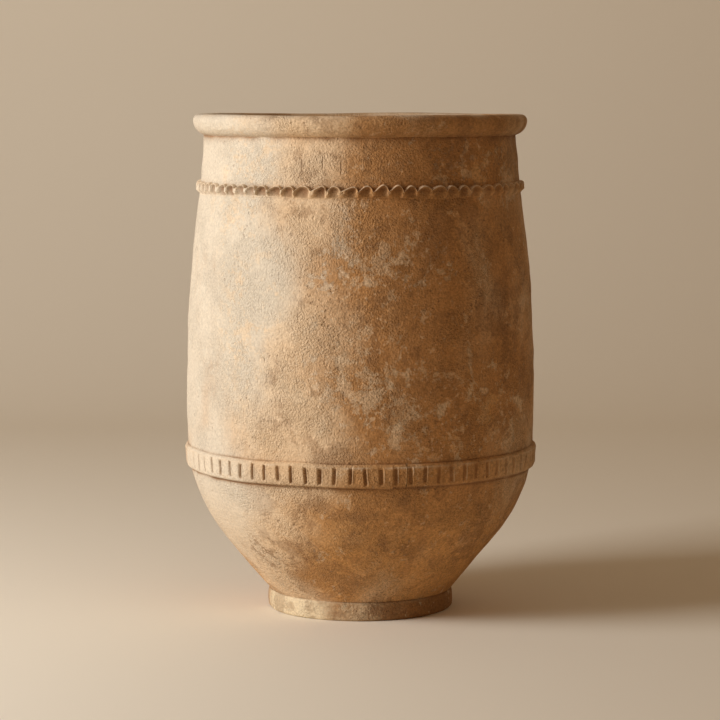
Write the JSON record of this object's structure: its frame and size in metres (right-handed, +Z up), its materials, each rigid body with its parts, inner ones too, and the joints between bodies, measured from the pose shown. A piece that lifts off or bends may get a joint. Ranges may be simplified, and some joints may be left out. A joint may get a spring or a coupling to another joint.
{
  "type": "storage jar",
  "caption": "Large wide-mouthed coil-built earthenware storage jar with a rolled rim, a tapering bowl on a small foot, and applied clay strips, pinched above and notched below.",
  "frame": {"origin": "centre of the foot's underside, on the surface that the jar stands on", "axes": "+Z up along the jar's axis, out of its mouth; -Y faces the viewer; the jar is round, so X and Y are alike"},
  "size_m": [0.3919, 0.392, 0.552],
  "materials": {
    "wall_clay": "matt buff earthenware, unglazed, with pale lime bloom and darker fired patches",
    "rim_clay": "matt buff earthenware smoothed with a wet hand, worn paler on the crest",
    "strip_clay": "matt buff earthenware, edges worn paler, dust in the hollows",
    "foot_clay": "matt paler buff earthenware with level wiping marks"
  },
  "bodies": {
    "root": {"base_disc": "foot_clay", "foot_ring": "foot_clay", "floor_coil": "wall_clay", "bowl_lower_section": "wall_clay", "bowl_upper_section": "wall_clay", "belly_section": "wall_clay", "body_lower_section": "wall_clay", "body_upper_section": "wall_clay", "shoulder_section": "wall_clay", "neck_section": "wall_clay", "rim_roll": "rim_clay", "notched_band": "strip_clay", "pinched_band": "strip_clay"}
  },
  "joints": []
}
